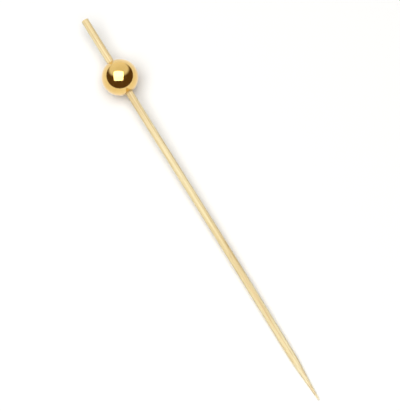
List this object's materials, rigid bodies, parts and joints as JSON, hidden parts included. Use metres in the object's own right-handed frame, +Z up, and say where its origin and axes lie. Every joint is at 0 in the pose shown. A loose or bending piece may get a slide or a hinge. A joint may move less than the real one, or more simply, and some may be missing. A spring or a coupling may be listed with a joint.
{
  "type": "cocktail pick",
  "caption": "Round bamboo cocktail pick, sharpened at one end, with a mirror-gold bead glued on near its butt, for skewering garnishes and finger food.",
  "frame": {"origin": "on the surface that the pick lies on, under the middle of its bounding box", "axes": "+X runs from the butt to the point, +Z up; the stick slopes down towards the point by 2.57 degrees, because it rests on its bead and on the shoulder where the point starts"},
  "size_m": [0.12, 0.01, 0.01],
  "materials": {
    "bamboo": "pale natural bamboo, dry and unvarnished, with fine lengthwise fibres",
    "bead_plating": "mirror gold plating over moulded plastic",
    "adhesive": "set glue, clear amber over the bamboo, with a soft shine"
  },
  "bodies": {
    "root": {"bamboo_stick": "bamboo", "bead": "bead_plating", "bead_adhesive": "adhesive"}
  },
  "joints": []
}
